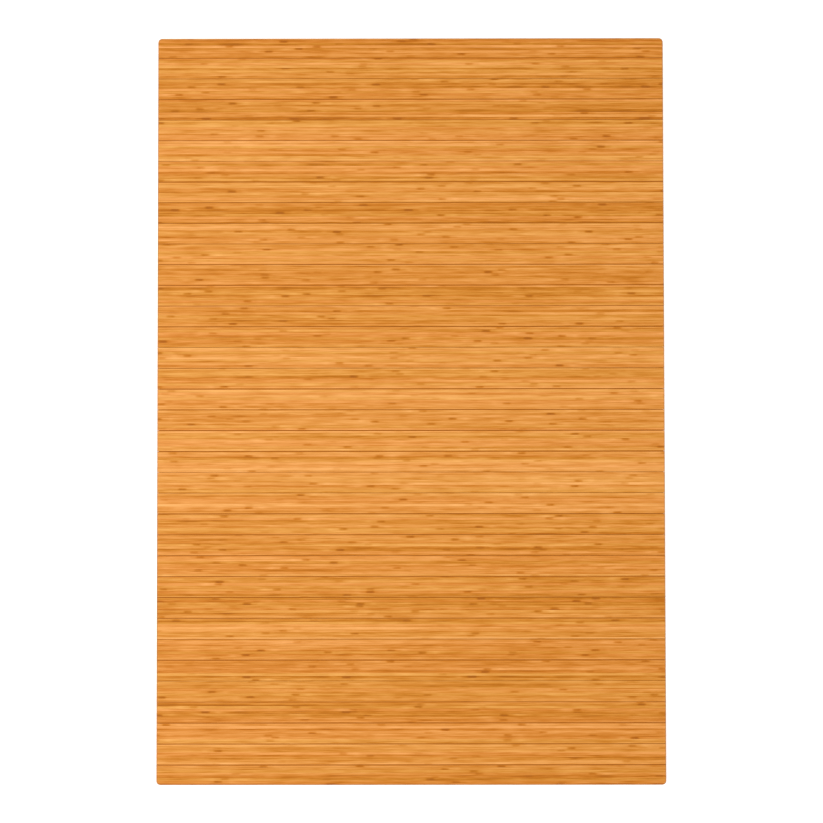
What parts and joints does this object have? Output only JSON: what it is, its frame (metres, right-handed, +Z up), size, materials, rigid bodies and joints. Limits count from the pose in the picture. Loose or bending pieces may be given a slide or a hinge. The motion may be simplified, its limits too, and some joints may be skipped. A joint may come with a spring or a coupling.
{
  "type": "roll-up bamboo chair mat",
  "caption": "Flat rectangular floor mat of side-by-side bamboo slats bonded to a flexible backing sheet, which rolls up along its seams.",
  "frame": {"origin": "middle of the mat's underside, on the seam between slat_18 and slat_19", "axes": "+X along the slats, +Y along the mat's length towards slat_01, +Z up out of the walking surface"},
  "size_m": [1.22, 1.796, 0.006],
  "materials": {
    "bamboo": "satin",
    "backing": "matte"
  },
  "bodies": {
    "slat_01": {"slat_01": "bamboo"},
    "slat_02": {"slat_02": "bamboo"},
    "slat_03": {"slat_03": "bamboo"},
    "slat_04": {"slat_04": "bamboo"},
    "slat_05": {"slat_05": "bamboo"},
    "slat_06": {"slat_06": "bamboo"},
    "slat_07": {"slat_07": "bamboo"},
    "slat_08": {"slat_08": "bamboo"},
    "slat_09": {"slat_09": "bamboo"},
    "slat_10": {"slat_10": "bamboo"},
    "slat_11": {"slat_11": "bamboo"},
    "slat_12": {"slat_12": "bamboo"},
    "slat_13": {"slat_13": "bamboo"},
    "slat_14": {"slat_14": "bamboo"},
    "slat_15": {"slat_15": "bamboo"},
    "slat_16": {"slat_16": "bamboo"},
    "slat_17": {"slat_17": "bamboo"},
    "slat_18": {"slat_18": "bamboo", "backing": "backing"},
    "slat_19": {"slat_19": "bamboo"},
    "slat_20": {"slat_20": "bamboo"},
    "slat_21": {"slat_21": "bamboo"},
    "slat_22": {"slat_22": "bamboo"},
    "slat_23": {"slat_23": "bamboo"},
    "slat_24": {"slat_24": "bamboo"},
    "slat_25": {"slat_25": "bamboo"},
    "slat_26": {"slat_26": "bamboo"},
    "slat_27": {"slat_27": "bamboo"},
    "slat_28": {"slat_28": "bamboo"},
    "slat_29": {"slat_29": "bamboo"},
    "slat_30": {"slat_30": "bamboo"},
    "slat_31": {"slat_31": "bamboo"},
    "slat_32": {"slat_32": "bamboo"},
    "slat_33": {"slat_33": "bamboo"},
    "slat_34": {"slat_34": "bamboo"},
    "slat_35": {"slat_35": "bamboo"},
    "slat_36": {"slat_36": "bamboo"}
  },
  "joints": [
    {"name": "seam_01", "type": "hinge", "parent": "slat_02", "child": "slat_01", "pos_m": [0, 0.85, 0], "axis": [-1, 0, 0], "range_deg": [-3, 65], "deforming": ["backing"]},
    {"name": "seam_02", "type": "hinge", "parent": "slat_03", "child": "slat_02", "pos_m": [0, 0.8, 0], "axis": [-1, 0, 0], "range_deg": [-3, 62], "deforming": ["backing"]},
    {"name": "seam_03", "type": "hinge", "parent": "slat_04", "child": "slat_03", "pos_m": [0, 0.75, 0], "axis": [-1, 0, 0], "range_deg": [-3, 59.4], "deforming": ["backing"]},
    {"name": "seam_04", "type": "hinge", "parent": "slat_05", "child": "slat_04", "pos_m": [0, 0.7, 0], "axis": [-1, 0, 0], "range_deg": [-3, 57.1], "deforming": ["backing"]},
    {"name": "seam_05", "type": "hinge", "parent": "slat_06", "child": "slat_05", "pos_m": [0, 0.65, 0], "axis": [-1, 0, 0], "range_deg": [-3, 55.1], "deforming": ["backing"]},
    {"name": "seam_06", "type": "hinge", "parent": "slat_07", "child": "slat_06", "pos_m": [0, 0.6, 0], "axis": [-1, 0, 0], "range_deg": [-3, 53.2], "deforming": ["backing"]},
    {"name": "seam_07", "type": "hinge", "parent": "slat_08", "child": "slat_07", "pos_m": [0, 0.55, 0], "axis": [-1, 0, 0], "range_deg": [-3, 51.6], "deforming": ["backing"]},
    {"name": "seam_08", "type": "hinge", "parent": "slat_09", "child": "slat_08", "pos_m": [0, 0.5, 0], "axis": [-1, 0, 0], "range_deg": [-3, 50.1], "deforming": ["backing"]},
    {"name": "seam_09", "type": "hinge", "parent": "slat_10", "child": "slat_09", "pos_m": [0, 0.45, 0], "axis": [-1, 0, 0], "range_deg": [-3, 48.7], "deforming": ["backing"]},
    {"name": "seam_10", "type": "hinge", "parent": "slat_11", "child": "slat_10", "pos_m": [0, 0.4, 0], "axis": [-1, 0, 0], "range_deg": [-3, 47.4], "deforming": ["backing"]},
    {"name": "seam_11", "type": "hinge", "parent": "slat_12", "child": "slat_11", "pos_m": [0, 0.35, 0], "axis": [-1, 0, 0], "range_deg": [-3, 46.3], "deforming": ["backing"]},
    {"name": "seam_12", "type": "hinge", "parent": "slat_13", "child": "slat_12", "pos_m": [0, 0.3, 0], "axis": [-1, 0, 0], "range_deg": [-3, 45.2], "deforming": ["backing"]},
    {"name": "seam_13", "type": "hinge", "parent": "slat_14", "child": "slat_13", "pos_m": [0, 0.25, 0], "axis": [-1, 0, 0], "range_deg": [-3, 44.2], "deforming": ["backing"]},
    {"name": "seam_14", "type": "hinge", "parent": "slat_15", "child": "slat_14", "pos_m": [0, 0.2, 0], "axis": [-1, 0, 0], "range_deg": [-3, 43.2], "deforming": ["backing"]},
    {"name": "seam_15", "type": "hinge", "parent": "slat_16", "child": "slat_15", "pos_m": [0, 0.15, 0], "axis": [-1, 0, 0], "range_deg": [-3, 42.3], "deforming": ["backing"]},
    {"name": "seam_16", "type": "hinge", "parent": "slat_17", "child": "slat_16", "pos_m": [0, 0.1, 0], "axis": [-1, 0, 0], "range_deg": [-3, 41.5], "deforming": ["backing"]},
    {"name": "seam_17", "type": "hinge", "parent": "slat_18", "child": "slat_17", "pos_m": [0, 0.05, 0], "axis": [-1, 0, 0], "range_deg": [-3, 40.7], "deforming": ["backing"]},
    {"name": "seam_18", "type": "hinge", "parent": "slat_18", "child": "slat_19", "pos_m": [0, 0, 0], "axis": [1, 0, 0], "range_deg": [-3, 40], "deforming": ["backing"]},
    {"name": "seam_19", "type": "hinge", "parent": "slat_19", "child": "slat_20", "pos_m": [0, -0.05, 0], "axis": [1, 0, 0], "range_deg": [-3, 39.3], "deforming": ["backing"]},
    {"name": "seam_20", "type": "hinge", "parent": "slat_20", "child": "slat_21", "pos_m": [0, -0.1, 0], "axis": [1, 0, 0], "range_deg": [-3, 38.6], "deforming": ["backing"]},
    {"name": "seam_21", "type": "hinge", "parent": "slat_21", "child": "slat_22", "pos_m": [0, -0.15, 0], "axis": [1, 0, 0], "range_deg": [-3, 38], "deforming": ["backing"]},
    {"name": "seam_22", "type": "hinge", "parent": "slat_22", "child": "slat_23", "pos_m": [0, -0.2, 0], "axis": [1, 0, 0], "range_deg": [-3, 37.4], "deforming": ["backing"]},
    {"name": "seam_23", "type": "hinge", "parent": "slat_23", "child": "slat_24", "pos_m": [0, -0.25, 0], "axis": [1, 0, 0], "range_deg": [-3, 36.8], "deforming": ["backing"]},
    {"name": "seam_24", "type": "hinge", "parent": "slat_24", "child": "slat_25", "pos_m": [0, -0.3, 0], "axis": [1, 0, 0], "range_deg": [-3, 36.2], "deforming": ["backing"]},
    {"name": "seam_25", "type": "hinge", "parent": "slat_25", "child": "slat_26", "pos_m": [0, -0.35, 0], "axis": [1, 0, 0], "range_deg": [-3, 35.7], "deforming": ["backing"]},
    {"name": "seam_26", "type": "hinge", "parent": "slat_26", "child": "slat_27", "pos_m": [0, -0.4, 0], "axis": [1, 0, 0], "range_deg": [-3, 35.2], "deforming": ["backing"]},
    {"name": "seam_27", "type": "hinge", "parent": "slat_27", "child": "slat_28", "pos_m": [0, -0.45, 0], "axis": [1, 0, 0], "range_deg": [-3, 34.7], "deforming": ["backing"]},
    {"name": "seam_28", "type": "hinge", "parent": "slat_28", "child": "slat_29", "pos_m": [0, -0.5, 0], "axis": [1, 0, 0], "range_deg": [-3, 34.3], "deforming": ["backing"]},
    {"name": "seam_29", "type": "hinge", "parent": "slat_29", "child": "slat_30", "pos_m": [0, -0.55, 0], "axis": [1, 0, 0], "range_deg": [-3, 33.8], "deforming": ["backing"]},
    {"name": "seam_30", "type": "hinge", "parent": "slat_30", "child": "slat_31", "pos_m": [0, -0.6, 0], "axis": [1, 0, 0], "range_deg": [-3, 33.4], "deforming": ["backing"]},
    {"name": "seam_31", "type": "hinge", "parent": "slat_31", "child": "slat_32", "pos_m": [0, -0.65, 0], "axis": [1, 0, 0], "range_deg": [-3, 33], "deforming": ["backing"]},
    {"name": "seam_32", "type": "hinge", "parent": "slat_32", "child": "slat_33", "pos_m": [0, -0.7, 0], "axis": [1, 0, 0], "range_deg": [-3, 32.6], "deforming": ["backing"]},
    {"name": "seam_33", "type": "hinge", "parent": "slat_33", "child": "slat_34", "pos_m": [0, -0.75, 0], "axis": [1, 0, 0], "range_deg": [-3, 32.2], "deforming": ["backing"]},
    {"name": "seam_34", "type": "hinge", "parent": "slat_34", "child": "slat_35", "pos_m": [0, -0.8, 0], "axis": [1, 0, 0], "range_deg": [-3, 31.9], "deforming": ["backing"]},
    {"name": "seam_35", "type": "hinge", "parent": "slat_35", "child": "slat_36", "pos_m": [0, -0.85, 0], "axis": [1, 0, 0], "range_deg": [-3, 31.5], "deforming": ["backing"]}
  ]
}
